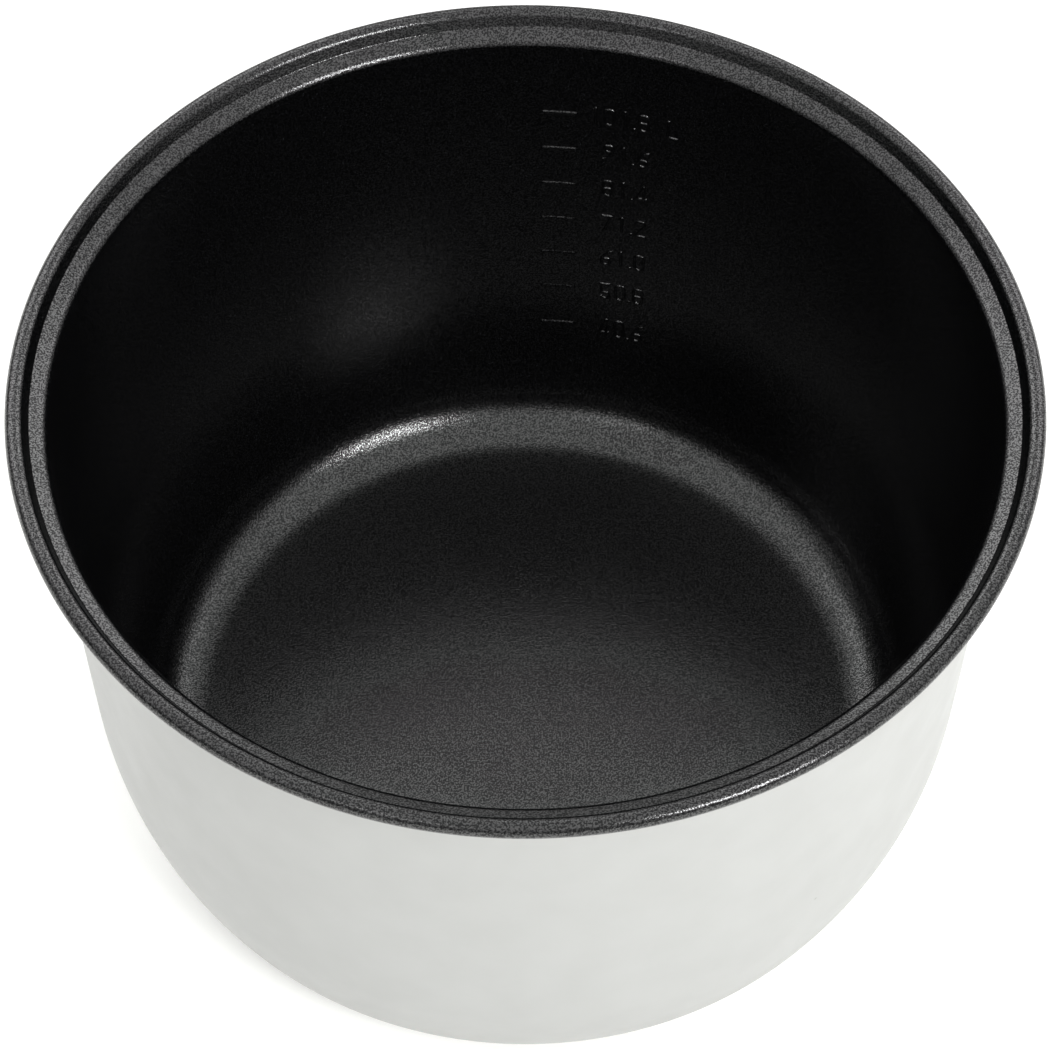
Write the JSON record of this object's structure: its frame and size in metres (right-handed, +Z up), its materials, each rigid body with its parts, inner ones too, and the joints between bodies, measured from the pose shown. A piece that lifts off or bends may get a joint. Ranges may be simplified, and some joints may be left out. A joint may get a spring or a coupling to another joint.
{
  "type": "rice cooker inner pot",
  "caption": "Removable round cooking pot with a non-stick lining, a rolled rim with a lid ledge, a tapered wall, a rounded corner, a flat base and raised level marks inside.",
  "frame": {"origin": "centre of the base's underside, on the surface that the pot stands on", "axes": "+Z up along the pot's axis of symmetry, +Y towards the side of the wall that carries the level marks"},
  "size_m": [0.24, 0.24, 0.145],
  "materials": {
    "bare_aluminium": "spun satin",
    "nonstick_lining": "satin black with a fine sparkle",
    "grey_lacquer": "satin light grey",
    "raised_marks": "satin black, as the lining"
  },
  "bodies": {
    "root": {"pan_shell": "bare_aluminium", "nonstick_coat": "nonstick_lining", "outer_coat": "grey_lacquer", "level_lines": "raised_marks", "cup_numerals": "raised_marks", "litre_numerals": "raised_marks"}
  },
  "joints": []
}
